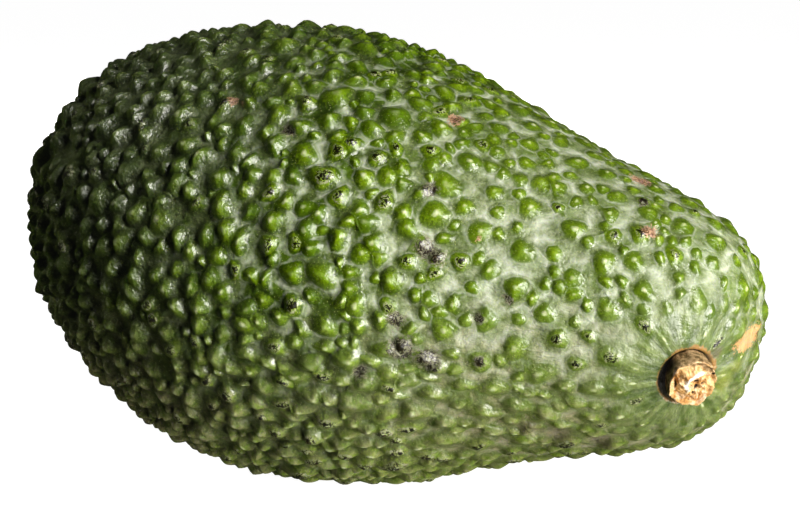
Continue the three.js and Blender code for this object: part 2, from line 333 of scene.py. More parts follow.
cell_direction = np.array([cell["direction"] for cell in cells])
cell_centre = np.array([cell["centre"] for cell in cells])
cell_radius = np.array([cell["radius"] for cell in cells])
cell_out = ways_out(skin, cell_direction)
cell_first, cell_second = across_pair(cell_out)
cell_parent = np.array([cell.get("parent", cell["centre"]) for cell in cells])
cell_group = np.array([np.argmin(np.linalg.norm(group_centre - centre, axis=1)) for centre in cell_parent])
cell_number = np.arange(len(cells))
is_ridge = (cell_number >= len(domes)) & (cell_number < SOCKET)
is_small = cell_number > SOCKET
cell_chance = np.random.default_rng(SEED).random((len(cells), 4))     # for height, turn, oval and green


def round_points(directions, steps_along=1500):
    """The places of directions on a unit sphere where small circles on the skin stay round."""
    polar = np.linspace(0, math.pi, steps_along + 1)[1:-1]
    along = -LENGTH / 2 * np.cos(polar)
    radius = HALF_WIDTH * polynomial(TAPER, -np.cos(polar)) * np.sin(polar)
    steps = np.hypot(np.diff(along), np.diff(radius)) * 2 / (radius[1:] + radius[:-1])
    reach = np.concatenate(([0], np.cumsum(steps)))
    reach -= np.interp(math.pi / 2, polar, reach)
    here = np.interp(np.arccos(-directions[:, 0]), polar, reach)
    clock = np.arctan2(directions[:, 2], directions[:, 1])
    return np.stack((np.sinh(here), np.cos(clock), np.sin(clock)), axis=1) / np.cosh(here)[:, None]


# The rings of a bump, from its foot to its tip: radius over the foot's, and the most that it may be
# of the way from the middle to the edge of the bump's cell. The socket's are radius and height, mm.
# While the rings are made they stand a hair apart, as their places are worked out afterwards.
RINGS = ((1.15, 0.9), (0.8, 0.68), (0.45, 0.38), (0.19, 0.16))
LAST_RING_FROM = 1.3 * MM       # only bumps with a larger foot have the innermost ring
SOCKET_RINGS = ((4.5, 0.1), (4.15, 0.02), (3.95, -0.8), (0, 0))
TIP = len(RINGS) + 1
WORK_INSET = 0.002

skin_form = bmesh.new()
cell_of = skin_form.faces.layers.int.new("cell")
owner_of = skin_form.verts.layers.int.new("owner")
ring_of = skin_form.verts.layers.int.new("ring")
spoke_of = skin_form.verts.layers.int.new("spoke")

# One corner for each bump, and the hull of them on the round sphere.
for number, point in enumerate(round_points(cell_direction)):
    skin_form.verts.new(point)[owner_of] = number
middles = skin_form.verts[:]
bmesh.ops.convex_hull(skin_form, input=middles)

# Its edges are turned across, so that each bump stands in a cell of its own, and the middles go.
hull_edges = skin_form.edges[:]
bmesh.ops.poke(skin_form, faces=skin_form.faces[:])
bmesh.ops.rotate_edges(skin_form, edges=hull_edges, use_ccw=False)
for middle in middles:
    for face in middle.link_faces:
        face[cell_of] = middle[owner_of]
bmesh.ops.dissolve_verts(skin_form, verts=middles)
bmesh.ops.bisect_edges(skin_form, edges=skin_form.edges[:], cuts=1)

# The corners of the cells' edges, and which bumps meet there.
border = skin_form.verts[:]
meeting = [[face[cell_of] for face in corner.link_faces] for corner in border]
for number, corner in enumerate(border):
    corner[spoke_of] = number
    corner[ring_of] = 0
beside = [[edge.other_vert(corner)[spoke_of] for edge in corner.link_edges] for corner in border]

# Rings inside each cell, and a tip in its middle.
cell_faces = skin_form.faces[:]
ringed = cell_faces
for number in range(1, TIP):
    if number == TIP - 1:
        ringed = [face for face in cell_faces
                  if face[cell_of] != SOCKET and cell_radius[face[cell_of]] > LAST_RING_FROM]
    bmesh.ops.inset_individual(skin_form, faces=ringed, thickness=WORK_INSET, depth=0)
    for face in ringed:
        for corner in face.verts:
            corner[ring_of] = number
            corner[owner_of] = face[cell_of]
for tip in bmesh.ops.poke(skin_form, faces=cell_faces)["verts"]:
    tip[ring_of] = TIP
    tip[owner_of] = tip.link_edges[0].other_vert(tip)[owner_of]
for face in skin_form.faces:
    face.smooth = True

ring = np.array([corner[ring_of] for corner in skin_form.verts])
owner = np.array([corner[owner_of] for corner in skin_form.verts])
spoke = np.array([corner[spoke_of] for corner in skin_form.verts])

# Where the border corners lie: between the bumps that meet, nearer to the smaller ones.
border_direction = np.array([
    unit((cell_direction[around] / cell_radius[around, None]).sum(axis=0)) for around in meeting
])
for number, around in enumerate(meeting):
    if len(around) == 2:
        border_direction[number] = unit(border_direction[beside[number]].sum(axis=0))
border_skin = skin(border_direction)

# How a bump differs from a round dome. It is a little oval and rippled. The ones near the stem are
# drawn out away from it, and the ones under the neck are long and lie along it.
RIPPLE = 0.1
RIDGE_STRETCH = 1.75
DRAWN_OUT = 0.3
DRAWN_FROM = 7 * MM
DRAWN_TO = 24 * MM
TURNED_OUT = 0.2        # how much a bump is drawn out where it also turns away from the stem
DOME_POWER = 1.7
DOME_SIDES = 1.25
DOME_END = 1.28         # where the foot runs out into the ground, over the foot's radius
DOME_RISE = 0.82        # its height over its radius, which is made more even and then varies
LEAST_RISE = 0.8
RISE_SPREAD = 0.45
EVEN = 0.65             # how far the height follows the radius, which it does wholly at 1
EVEN_AT = 1.2           # mm, the radius that this leaves as it is
RISE = (1.1, 1.05, 0.9, 0.66)   # by zone
BROAD_END_RISE = 0.12   # how much higher the bumps are at the broad end, and where in full
BROAD_END_PLACE = 0.8
FLAT_TOP = 0.4          # how much lower the bumps are on the neck's upper side
TOP_UP = (0.3, 0.85)    # how far up that side begins and is reached, and how far along the axis
TOP_ALONG = (-0.1, 0.3)
UNDER = (0.12, 0.4)     # how far down the neck's underside begins and is reached, and how far along
UNDER_ALONG = (-0.3, 0.15)
UNDER_FROM = 0.3        # how much of it a bump that lies along the neck has
UNDER_OVAL = 0.45
LEAST_OVAL = 0.4        # the share of that which every such bump has
UNDER_TURN = 0.35
UNDER_SIZE = 0.2
UNDER_RISE = 0.35

outward = cell_centre - stem_foot
cell_from_stem = np.linalg.norm(outward, axis=1)
outward_turn = np.arctan2((outward * cell_second).sum(axis=1), (outward * cell_first).sum(axis=1))
near = 1 - smoothstep(cell_from_stem, DRAWN_FROM, DRAWN_TO)
cell_along = cell_direction[:, 0]
cell_turn = np.where(
    cell_along < BROAD_HALF, BROAD_TURN * (2 * cell_chance[:, 1] - 1), 2 * math.pi * cell_chance[:, 1])
cell_turn = np.where(near > TURNED_OUT, outward_turn, cell_turn)
plain_oval = np.interp(cell_along, ZONES, OVAL) * cell_chance[:, 2]
under = smoothstep(-cell_direction[:, 2], *UNDER) * smoothstep(cell_along, *UNDER_ALONG) * (1 - near)
along_way = np.array((1.0, 0.0, 0.0))
along_turn = np.arctan2(cell_second @ along_way, cell_first @ along_way)
leaning_along = along_turn + UNDER_TURN * (2 * cell_chance[:, 1] - 1)
cell_turn = np.where(under > UNDER_FROM, leaning_along, cell_turn)
plain_oval += under * UNDER_OVAL * (LEAST_OVAL + (1 - LEAST_OVAL) * cell_chance[:, 2])
cell_oval = np.where(is_ridge, RIDGE_STRETCH, 1 + plain_oval * (1 - near) + DRAWN_OUT * near)
cell_foot = cell_radius * (1 + UNDER_SIZE * under)
cell_foot[SOCKET] = SOCKET_RADIUS
grown = smoothstep(cell_from_stem, 0, FULL_BUMPS_FROM)
broad = 1 + BROAD_END_RISE * smoothstep(-cell_along, 0, BROAD_END_PLACE)
even_radius = cell_radius ** EVEN * (EVEN_AT * MM) ** (1 - EVEN)
cell_rise = DOME_RISE * even_radius * grown * broad * (LEAST_RISE + RISE_SPREAD * cell_chance[:, 0])
cell_rise *= np.interp(cell_along, ZONES, RISE) * (1 + UNDER_RISE * under)
cell_rise *= 1 - FLAT_TOP * smoothstep(cell_direction[:, 2], *TOP_UP) * smoothstep(cell_along, *TOP_ALONG)
cell_rise[is_ridge] = 0         # the furrows further on give the folds their height
cell_rise[SOCKET] = 0


def foot_radius(cell, towards):
    """The radius of a bump's foot towards points round it."""
    angle = np.arctan2((towards * cell_second[cell]).sum(axis=1), (towards * cell_first[cell]).sum(axis=1))
    turned = angle - cell_turn[cell]
    oval = 1 / np.hypot(np.cos(turned) / cell_oval[cell], np.sin(turned) * cell_oval[cell])
    ripple = 1 + RIPPLE * np.cos(3 * angle + 2 * math.pi * cell_chance[cell, 0])
    return cell_foot[cell] * np.where(cell == SOCKET, 1, oval * ripple)


def dome(cell, share):
    """The height of a bump, at a share of the way from its tip to its foot."""
    share = np.clip(share / DOME_END, 0, 1)
    return cell_rise[cell] * (1 - share ** DOME_POWER) ** DOME_SIDES


# What each corner of the mesh gets.
foot_share = np.zeros(len(ring))    # 0 on a tip, 1 at a foot, and more beyond it
group_gap = np.zeros(len(ring))     # 1 on the ground between two groups
height = np.zeros(len(ring))
direction = np.zeros((len(ring), 3))

# The corners between bumps. The ground stays high between bumps of one group, and higher between
# tips that have grown together, unless they stand too far from there.
SADDLE = 0.5            # over the height of the lower bump
TIP_SADDLE = 0.8
SADDLE_END = (1.1, 1.7)     # how far out it begins to sink and is gone, over the nearest foot's radius
SAME_PLACE = 1e-9           # metres
edge_foot = np.zeros(len(border))
edge_height = np.zeros(len(border))
edge_apart = np.zeros(len(border))
for number, around in enumerate(meeting):
    around = np.array([cell for cell in around if cell != SOCKET])
    towards = border_skin[number] - cell_centre[around]
    share = np.linalg.norm(towards, axis=1) / foot_radius(around, towards)
    edge_foot[number] = share.min()
    edge_apart[number] = len(set(cell_group[around])) > 1
    grown_together = np.ptp(cell_parent[around], axis=0).max() < SAME_PLACE
    low = TIP_SADDLE if grown_together else SADDLE * (1 - edge_apart[number])
    low *= cell_rise[around].min() * (1 - smoothstep(share.min(), *SADDLE_END))
    edge_height[number] = max(dome(around, share).max(), low)
at_edge = ring == 0
direction[at_edge] = border_direction[spoke[at_edge]]
foot_share[at_edge] = edge_foot[spoke[at_edge]]
group_gap[at_edge] = edge_apart[spoke[at_edge]]
height[at_edge] = edge_height[spoke[at_edge]]

# The rings: each corner lies on the way from its bump's middle to the border corner it belongs to.
GAP_BY_RING = (0.5, 0.1, 0, 0)      # how much of the ground between groups the rings still have
SADDLE_WITHIN = 0.55                # how far out in a cell the high ground begins
inside = (ring > 0) & (ring < TIP)
own, rim, level = owner[inside], spoke[inside], ring[inside] - 1
towards = border_skin[rim] - cell_centre[own]
reach = np.linalg.norm(towards, axis=1)
ground = foot_radius(own, towards)
factor, most = np.array(RINGS)[level].T
along = np.minimum(factor * ground, most * reach)
in_socket = own == SOCKET
along = np.where(in_socket, np.array(SOCKET_RINGS)[level, 0] * MM, along)
part_way = (along / reach)[:, None]
direction[inside] = unit(cell_direction[own] * (1 - part_way) + border_direction[rim] * part_way)
foot_share[inside] = along / ground
low_share = smoothstep(part_way[:, 0], SADDLE_WITHIN, 1)
own_height = np.maximum(dome(own, along / ground), edge_height[rim] * low_share)
height[inside] = np.where(in_socket, np.array(SOCKET_RINGS)[level, 1] * MM, own_height)
group_gap[inside] = edge_apart[rim] * np.array(GAP_BY_RING)[level]

# The tips.
at_tip = ring == TIP
direction[at_tip] = cell_direction[owner[at_tip]]
height[at_tip] = cell_rise[owner[at_tip]]
height[at_tip & (owner == SOCKET)] = -SOCKET_DEPTH

# Nothing grows quite regularly, so the bumps are pushed about along the skin, except by the stem.
WARP = (0.55, 0.55, 0.5, 0.35)      # mm, by zone
WARP_SIZE = 2.6                     # mm from one push to the next
WARP_FROM = 7 * MM                  # off the stem's foot
FULL_WARP_FROM = 15 * MM
bare = skin(direction)
loose = smoothstep(np.linalg.norm(bare - stem_foot, axis=1), WARP_FROM, FULL_WARP_FROM)[:, None]
noise.seed_set(SEED)                # without it noise_vector differs from run to run
push = np.array([noise.noise_vector(Vector(point / (WARP_SIZE * MM))) for point in bare])
loose *= np.interp(direction[:, 0], ZONES, WARP)[:, None]
direction = unit(direction + loose * MM * push / (LENGTH / 2, HALF_WIDTH, HALF_WIDTH))
bare = skin(direction)

# Round the stem the skin is drawn into furrows: how many, their turn, and their height in mm.
FURROWS = ((6, 0.4, 0.05), (9, 2.1, 0.06), (14, 4.0, 0.05), (23, 1.2, 0.04))
FURROWS_FROM = (4.7 * MM, 6 * MM)   # where they begin and are full, and where they thin out and end
FURROWS_TO = (8 * MM, 17 * MM)
from_stem = bare - stem_foot
stem_distance = np.linalg.norm(from_stem, axis=1)
stem_angle = np.arctan2(from_stem @ stem_second, from_stem @ stem_first)
folded = smoothstep(stem_distance, *FURROWS_FROM) * (1 - smoothstep(stem_distance, *FURROWS_TO))
for count, turn, rise in FURROWS:
    height += folded * rise * MM * np.sin(count * stem_angle + turn)

# The underside is pressed flat where the fruit rests on it.
at = laid_down(bare + height[:, None] * ways_out(skin, direction))
at[:, 2] = np.maximum(at[:, 2], 0)
for corner, place in zip(skin_form.verts, at):
    corner.co = place
bmesh.ops.recalc_face_normals(skin_form, faces=skin_form.faces[:])

# Marks on the skin: middles in the frame and radii, mm. First come the dark and pale corky scabs.
DARK_SCABS = (
    (19.4, -24.7, 37.6, 1.3), (21.0, -24.1, 36.3, 1.2), (16.2, -27.2, 27.7, 1.2), (16.7, -26.7, 23.5, 1.8),
    (20.2, -25.1, 22.1, 1.7), (10.4, -26.7, 20.2, 1.1), (18.6, -21.8, 45.4, 1.1), (26.7, -22.8, 22.0, 0.9),
    (30.5, -21.3, 30.7, 0.8), (26.8, -23.5, 28.2, 0.8), (-2.3, -24.6, 52.6, 1.1), (43.8, -6.1, 43.9, 1.0),
)
PALE_SCABS = (
    (17.5, -12.1, 54.4, 1.05), (25.7, -21.0, 38.9, 0.6), (40.6, -0.2, 45.8, 1.3), (46.4, -9.7, 40.3, 1.2),
    (-12.5, -22.8, 56.6, 0.8),
)
# Grey-brown smears low on the neck and beside the stem, and a yellow-green patch there.
SMEARS = (
    (30.5, -14.9, 11.9, 1.5), (34.1, -12.0, 10.5, 1.7), (38.7, -8.7, 10.0, 1.6), (54.8, -6.4, 22.9, 1.0),
)
PALE_PATCHES = ((54.7, -3.0, 18.6, 1.5), (56.2, -1.5, 20.5, 1.0))
# A long scar beside the stem: its middle, its long way, and half its length and width.
SCAR = ((56.9, 0.6, 24.5), (1.0, 5.5, 1.3), 3.8, 1.6)
SCAR_EDGE = 0.5         # how far it has faded at that distance
MARK_REACH = 2.3        # how far out the other marks fade to nothing, over their radius
LOW_BUMP = 0.5 * MM     # small and low bumps draw their green from less than the whole range, so
LOW_CHANCE = 0.85       # that few of them have a pore


def near_places(places):
    """1 at the middle of a place, falling evenly to 0 where its reach ends."""
    shares = [
        1 - np.linalg.norm(at / MM - middle, axis=1) / (MARK_REACH * radius) for *middle, radius in places
    ]
    return np.maximum(np.max(shares, axis=0), 0)


scar_at, scar_way, scar_length, scar_width = SCAR
scar_way = np.array(scar_way) / np.linalg.norm(scar_way)
miss = at / MM - scar_at
along_scar = miss @ scar_way
beside_scar = np.linalg.norm(miss - along_scar[:, None] * scar_way, axis=1)
scar = np.maximum(1 - SCAR_EDGE * np.hypot(along_scar / scar_length, beside_scar / scar_width), 0)

cell_is_low = is_small | is_ridge | (cell_rise < LOW_BUMP)
green_chance = (cell_chance[:, 3] * np.where(cell_is_low, LOW_CHANCE, 1))[owner] * (ring > 0)

skin_mesh = bpy.data.meshes.new("fruit_skin")
skin_form.to_mesh(skin_mesh)
skin_form.free()
for name, values in (
    ("foot", foot_share), ("apart", group_gap), ("chance", green_chance), ("length", direction[:, 0]),
    ("dark_scab", near_places(DARK_SCABS)), ("pale_scab", near_places(PALE_SCABS)), ("scar", scar),
    ("smear", near_places(SMEARS)), ("pale_patch", near_places(PALE_PATCHES)),
):
    skin_mesh.attributes.new(name, "FLOAT", "POINT").data.foreach_set("value", values.astype(np.float32))
round_the_stem = np.stack((np.cos(stem_angle), np.sin(stem_angle), stem_distance / MM), axis=1)
skin_mesh.attributes.new("stem", "FLOAT_VECTOR", "POINT").data.foreach_set(
    "vector", round_the_stem.astype(np.float32).ravel())


def colour(hex_code):
    """A colour as it is written for a screen, made linear by the sRGB curve."""
    parts = [int(hex_code[place:place + 2], 16) / 255 for place in (1, 3, 5)]
    return (*(part / 12.92 if part <= 0.04045 else ((part + 0.055) / 1.055) ** 2.4 for part in parts), 1)


def add(tree, kind, inputs=(), **settings):
    """Adds a shader node and gives back its outputs. Each of inputs sets a socket or links it.

    A Mix node has sockets of one name for each type of data, so they go by number: 0 is how far,
    2 and 3 are its two numbers, 6 and 7 its two colours, and output 2 the mixed colour.
    """
    node = tree.nodes.new("ShaderNode" + kind)
    for name, value in settings.items():
        setattr(node, name, value)
    for socket_name, value in dict(inputs).items():
        if isinstance(value, bpy.types.NodeSocket):
            tree.links.new(value, node.inputs[socket_name])
        else:
            node.inputs[socket_name].default_value = value
    return node.outputs


# Avocado skin, as it grows: a tough, leathery rind under a thin bloom of wax. The bloom lies pale
# and nearly matt on the low ground, and the tips have lost it, so they show a deep green and small
# sharp glints. For those glints its IOR stands above the 1.45 of wax.
# Its patterns, by the size of one spot in mm. The real grain is finer than 0.1 mm and wouldn't show,
# so it is drawn coarser.
BROAD_PATCH = 14.286
PATCH = 2.381
WRINKLE = 1.1111
LUMP = 1.0
CRACK = 0.71429
SPECK = 0.43478
GRAIN = 0.38462
STRETCHED = (0.3, 1.0, 1.0)     # the wrinkles are three times as long along the fruit as across it
WRINKLE_SHARE = 0.55            # of the bloom's grain, which is also mottled by the fine grain
NOISE_MEAN = 0.5
skin_finish = bpy.data.materials.new("waxy_leathery_skin")
skin_finish.use_nodes = True
tree = skin_finish.node_tree
tree.nodes.clear()
place = add(tree, "TexCoord")["Object"]
foot, apart, chance, length = (
    add(tree, "Attribute", attribute_name=name)["Fac"] for name in ("foot", "apart", "chance", "length")
)
broad_patches = add(tree, "TexNoise", {
    "Vector": place, "Scale": 1 / (BROAD_PATCH * MM), "Detail": 3,
})["Fac"]
patches = add(tree, "TexNoise", {"Vector": place, "Scale": 1 / (PATCH * MM), "Detail": 3})["Fac"]
grain = add(tree, "TexNoise", {
    "Vector": place, "Scale": 1 / (GRAIN * MM), "Detail": 3, "Roughness": 0.65,
})["Fac"]
drawn_way = add(tree, "VectorMath", {0: place, 1: STRETCHED}, operation="MULTIPLY")[0]
wrinkles = add(tree, "TexNoise", {
    "Vector": drawn_way, "Scale": 1 / (WRINKLE * MM), "Detail": 3, "Distortion": 0.8,
})["Fac"]
specks = add(tree, "TexVoronoi", {"Vector": place, "Scale": 1 / (SPECK * MM)}, feature="F1")["Distance"]

# Green of the skin: deep at the foot of a bump and towards the broad end, and yellower on its tip.
# The deep green at a bump's foot is painted shade, the yellower tip partly painted highlight, and
# the dark towards the broad end painted shade of the side that the lamps leave dark.
at_neck = add(tree, "MapRange", {"Value": length, "From Min": 0.05, "From Max": 0.45})[0]
past_middle = add(tree, "MapRange", {"Value": length, "From Min": -0.5, "From Max": 0.0})[0]
lumps = add(tree, "TexNoise", {"Vector": place, "Scale": 1 / (LUMP * MM), "Detail": 2})["Fac"]
mottling = add(tree, "MapRange", {
    "Value": grain, "From Min": 0.3, "From Max": 0.7, "To Min": -0.45, "To Max": 0.45,
})[0]
tip_glow_share = add(tree, "MapRange", {"Value": foot, "From Min": 1.0, "From Max": 0.15})[0]
tip_glow_mottled = add(tree, "Math", {0: tip_glow_share, 1: mottling}, operation="ADD", use_clamp=True)[0]
foot_shade_green = add(tree, "Mix", {
    0: add(tree, "MapRange", {"Value": patches, "From Min": 0.35, "From Max": 0.65})[0],
    6: colour("#243800"), 7: colour("#476400"),
}, data_type="RGBA")[2]
tip_green_and_glow = add(tree, "Mix", {0: chance, 6: colour("#567600"), 7: colour("#88a806")}, data_type="RGBA")[2]
bump_green_shaded = add(tree, "Mix", {0: tip_glow_mottled, 6: foot_shade_green, 7: tip_green_and_glow}, data_type="RGBA")[2]
neck_green = add(tree, "Mix", {
    0: add(tree, "MapRange", {"Value": at_neck, "To Max": 0.25})[0],
    6: bump_green_shaded, 7: colour("#7f9a2a"),
}, data_type="RGBA")[2]
# Darker green towards the broad end: painted shade of the side that the lamps leave dark.
skin_green_shaded = add(tree, "Mix", {
    0: add(tree, "MapRange", {"Value": length, "From Min": 0.0, "From Max": -0.75, "To Max": 0.78})[0],
    6: neck_green, 7: colour("#1f2d02"),
}, data_type="RGBA")[2]

# The bloom lies on the low ground, most of all round the neck, and is thinner by the stem. Underneath
# the fruit a pale dust lies on the bumps as well, most on their tips, where it is partly painted sheen.
low_down = add(tree, "MapRange", {
    "Value": add(tree, "SeparateXYZ", {0: place})[2], "From Min": 32 * MM, "From Max": 14 * MM,
})[0]
low_ground = add(tree, "MapRange", {
    "Value": foot, "From Min": 0.95,
    "From Max": add(tree, "MapRange", {"Value": at_neck, "To Min": 1.42, "To Max": 1.75})[0],
    "To Min": add(tree, "MapRange", {
        "Value": length, "From Min": -0.7, "From Max": 0.2, "To Min": 0.07, "To Max": 0.0,
    })[0],
    "To Max": add(tree, "MapRange", {
        "Value": length, "From Min": 0.12, "From Max": 0.5, "To Min": 0.07, "To Max": 0.66,
    })[0],
})[0]
with_gaps = add(tree, "Math", {
    0: low_ground,
    1: add(tree, "Math", {
        0: apart,
        1: add(tree, "MapRange", {"Value": at_neck, "To Min": 0.22, "To Max": 0.36})[0],
    }, operation="MULTIPLY")[0],
}, operation="ADD")[0]
uneven_bloom = add(tree, "MapRange", {
    "Value": broad_patches, "From Min": 0.3, "From Max": 0.7, "To Min": 0.6, "To Max": 1.15,
})[0]
bloom = add(tree, "Math", {0: with_gaps, 1: uneven_bloom}, operation="MULTIPLY")[0]
grained = add(tree, "MapRange", {
    "Value": add(tree, "Mix", {0: WRINKLE_SHARE, 2: grain, 3: wrinkles})[0],
    "From Min": 0.4, "From Max": 0.6, "To Min": 0.5, "To Max": 1.4,
})[0]
bloom = add(tree, "Math", {0: bloom, 1: grained}, operation="MULTIPLY", use_clamp=True)[0]
stem = add(tree, "Attribute", attribute_name="stem")["Vector"]
stem_cosine, stem_sine, stem_far = add(tree, "SeparateXYZ", {0: stem})
off_stem = add(tree, "MapRange", {"Value": stem_far, "From Min": 7, "From Max": 15, "To Min": 0.5})[0]
bloom = add(tree, "Math", {0: bloom, 1: off_stem}, operation="MULTIPLY")[0]
bloom = add(tree, "Math", {
    0: bloom,
    1: add(tree, "MapRange", {"Value": low_down, "To Min": 1.0, "To Max": 0.8})[0],
}, operation="MULTIPLY")[0]
dust_and_sheen_on_top = add(tree, "MapRange", {
    "Value": foot, "From Min": 0.2, "From Max": 1.2,
    "To Min": add(tree, "MapRange", {"Value": past_middle, "To Min": 0.55, "To Max": 0.42})[0],
    "To Max": 0.1,
})[0]
dust_and_sheen = add(tree, "Math", {
    0: add(tree, "Math", {0: low_down, 1: dust_and_sheen_on_top}, operation="MULTIPLY")[0],
    1: add(tree, "MapRange", {
        "Value": lumps, "From Min": 0.35, "From Max": 0.65, "To Min": 0.3, "To Max": 1.4,
    })[0],
}, operation="MULTIPLY")[0]
bloom_dust_and_sheen = add(tree, "Math", {0: bloom, 1: dust_and_sheen}, operation="MAXIMUM", use_clamp=True)[0]
wax = add(tree, "Mix", {0: at_neck, 6: colour("#94a364"), 7: colour("#9fa986")}, data_type="RGBA")[2]
wax = add(tree, "Mix", {0: low_down, 6: wax, 7: colour("#aca47e")}, data_type="RGBA")[2]

# Fine pale lines run round some bumps, a little outside their feet, and between the groups.
LINE_AT = 1.12
round_bumps = add(tree, "MapRange", {
    "Value": add(tree, "Math", {
        0: add(tree, "Math", {0: foot, 1: LINE_AT}, operation="SUBTRACT")[0],
    }, operation="ABSOLUTE")[0],
    "From Min": 0.2, "From Max": 0.0, "To Max": 0.55,
})[0]
between_groups = add(tree, "MapRange", {
    "Value": add(tree, "Math", {
        0: add(tree, "Math", {0: apart, 1: 1.0}, operation="SUBTRACT")[0],
    }, operation="ABSOLUTE")[0],
    "From Min": 0.55, "From Max": 0.0,
})[0]
line = add(tree, "Math", {0: round_bumps, 1: between_groups}, operation="MAXIMUM")[0]
line_here = add(tree, "Math", {
    0: add(tree, "MapRange", {"Value": length, "From Min": -0.4, "From Max": 0.0})[0],
    1: add(tree, "MapRange", {"Value": foot, "From Min": 0.92, "From Max": 1.08})[0],
}, operation="MULTIPLY")[0]
line_amount = add(tree, "Math", {
    0: add(tree, "Math", {0: line, 1: line_here}, operation="MULTIPLY")[0],
    1: add(tree, "MapRange", {
        "Value": patches, "From Min": 0.42, "From Max": 0.58,
        "To Max": add(tree, "MapRange", {"Value": low_down, "To Min": 0.75, "To Max": 0.15})[0],
    })[0],
}, operation="MULTIPLY")[0]

# Round the stem the skin is drawn into pale and green streaks, about 1 mm wide at its foot, and
# edged with a dry, ragged fringe.
STREAKS_ROUND = 6.5             # a turn round the stem is 6.28 times this many spots
STREAK_LENGTH = 4.0             # mm
FRINGE_WAY = (-0.616, 0.788, 0)      # the side of the stem where its dry edge is widest
round_stem_way = add(tree, "CombineXYZ", {
    0: add(tree, "Math", {0: stem_cosine, 1: STREAKS_ROUND}, operation="MULTIPLY")[0],
    1: add(tree, "Math", {0: stem_sine, 1: STREAKS_ROUND}, operation="MULTIPLY")[0],
    2: add(tree, "Math", {0: stem_far, 1: 1 / STREAK_LENGTH}, operation="MULTIPLY")[0],
})[0]
streaks = add(tree, "TexNoise", {"Vector": round_stem_way, "Scale": 1.0, "Detail": 4})["Fac"]
streaked = add(tree, "Mix", {
    0: add(tree, "MapRange", {"Value": streaks, "From Min": 0.38, "From Max": 0.62})[0],
    6: colour("#31480c"), 7: colour("#7d8b56"),
}, data_type="RGBA")[2]
by_stem = add(tree, "MapRange", {"Value": stem_far, "From Min": 16, "From Max": 7, "To Max": 0.72})[0]
fringe = add(tree, "MapRange", {
    "Value": add(tree, "VectorMath", {0: stem, 1: FRINGE_WAY}, operation="DOT_PRODUCT")["Value"],
    "From Min": -0.2, "From Max": 1.0, "To Min": 0.9, "To Max": 1.8,
})[0]
dry_edge_and_socket_shade = add(tree, "MapRange", {
    "Value": add(tree, "Math", {
        0: stem_far,
        1: add(tree, "Math", {0: streaks, 1: fringe}, operation="MULTIPLY")[0],
    }, operation="SUBTRACT")[0],
    "From Min": 4.2, "From Max": 3.9,
})[0]
# Inside the socket, round the stub, the wall is painted near black as painted shade; outside it the dry
# fringe is golden.
socket_wall_shade = add(tree, "MapRange", {"Value": stem_far, "From Min": 4.45, "From Max": 4.2})[0]
dry_rim_and_socket_shade = add(tree, "Mix", {
    0: socket_wall_shade, 6: colour("#a07a42"), 7: colour("#1d1d0a"),
}, data_type="RGBA")[2]

# Pale specks lie all over but by the stem, and a ragged pale spot on many tips: partly a pale
# lenticel, partly a painted highlight.
SPOT_RAGGED = 0.4
SPOT_DRAW = 7.3         # makes a new chance, of how pale the spot is, out of the bump's own
speck = add(tree, "MapRange", {"Value": specks, "From Min": 0.22, "From Max": 0.12, "To Max": 0.5})[0]
speck = add(tree, "Math", {
    0: speck,
    1: add(tree, "Math", {0: 1.0, 1: by_stem}, operation="SUBTRACT")[0],
}, operation="MULTIPLY")[0]
tip_spot_and_glint = add(tree, "MapRange", {
    "Value": add(tree, "Math", {
        0: foot,
        1: add(tree, "Math", {0: lumps, 1: SPOT_RAGGED}, operation="MULTIPLY")[0],
    }, operation="ADD")[0],
    "From Min": 0.5, "From Max": 0.26,
    "To Max": add(tree, "Math", {
        0: add(tree, "Math", {0: chance, 1: SPOT_DRAW}, operation="MULTIPLY")[0],
    }, operation="FRACT")[0],
})[0]
tip_spot_and_glint_here = add(tree, "Math", {
    0: tip_spot_and_glint,
    1: add(tree, "MapRange", {"Value": length, "From Min": -0.7, "From Max": 0.1, "To Min": 0.3})[0],
}, operation="MULTIPLY")[0]

# The colours so far are laid over the green one after the other, and the smears and the patch last.
layers = [
    (bloom_dust_and_sheen, wax), (line_amount, colour("#d0d8c2")), (by_stem, streaked), (dry_edge_and_socket_shade, dry_rim_and_socket_shade),
    (speck, colour("#b4bc78")), (tip_spot_and_glint_here, colour("#dfe8b4")),
]
ragged_edge = add(tree, "Math", {0: patches, 1: NOISE_MEAN}, operation="SUBTRACT")[0]
for name, most, mark_colour in (("smear", 0.55, "#6f6250"), ("pale_patch", 0.35, "#a3a83e")):
    field = add(tree, "Attribute", attribute_name=name)["Fac"]
    uneven_field = add(tree, "Math", {0: field, 1: ragged_edge}, operation="ADD")[0]
    amount = add(tree, "MapRange", {
        "Value": uneven_field, "From Min": 0.3, "From Max": 0.75, "To Max": most,
    })[0]
    layers.append((amount, colour(mark_colour)))
layered = skin_green_shaded
for amount, over in layers:
    layered = add(tree, "Mix", {0: amount, 6: layered, 7: over}, data_type="RGBA")[2]

